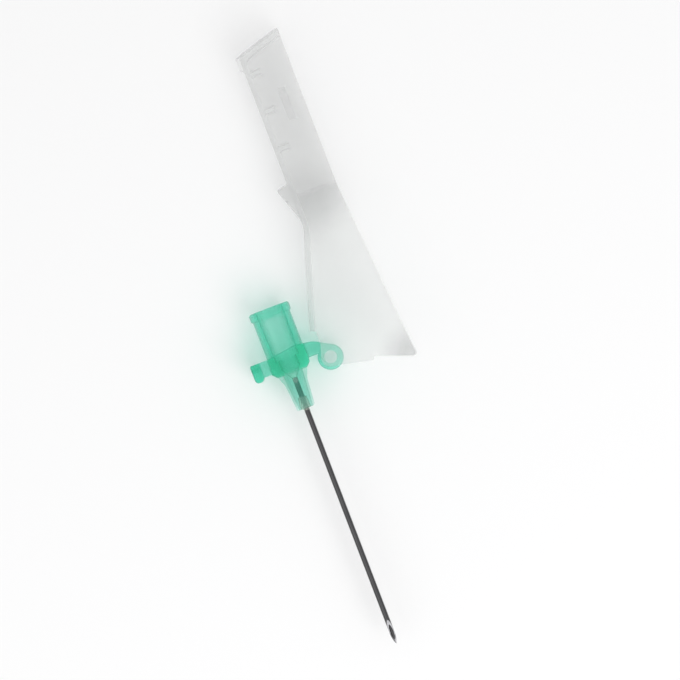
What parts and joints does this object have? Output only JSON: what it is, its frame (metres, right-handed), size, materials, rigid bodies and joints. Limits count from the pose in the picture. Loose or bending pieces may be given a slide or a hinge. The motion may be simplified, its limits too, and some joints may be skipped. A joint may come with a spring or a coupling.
{
  "type": "safety hypodermic needle",
  "caption": "Hypodermic needle with a green luer hub and a frosted channel sheath, hinged beside the hub, that swings over the cannula and locks.",
  "frame": {"origin": "centre of the luer socket's mouth, in the plane of its rim", "axes": "+Y out of the luer mouth, with the cannula along -Y; +X from the cannula towards the sheath's hinge; +Z along the hinge pins, up as the needle lies on the side of its sheath"},
  "size_m": [0.0242, 0.0931, 0.0098],
  "materials": {
    "hub": "translucent green moulding, satin gloss",
    "cannula": "drawn and ground stainless steel",
    "adhesive": "clear cured adhesive",
    "sheath": "frosted translucent moulding"
  },
  "bodies": {
    "hub": {"hub": "hub", "cannula": "cannula", "adhesive": "adhesive"},
    "sheath": {"sheath": "sheath"}
  },
  "joints": [
    {"name": "sheath_hinge", "type": "hinge", "parent": "hub", "child": "sheath", "pos_m": [0.0062, -0.0102, 0], "axis": [0, 0, -1], "range_deg": [0, 180]}
  ]
}
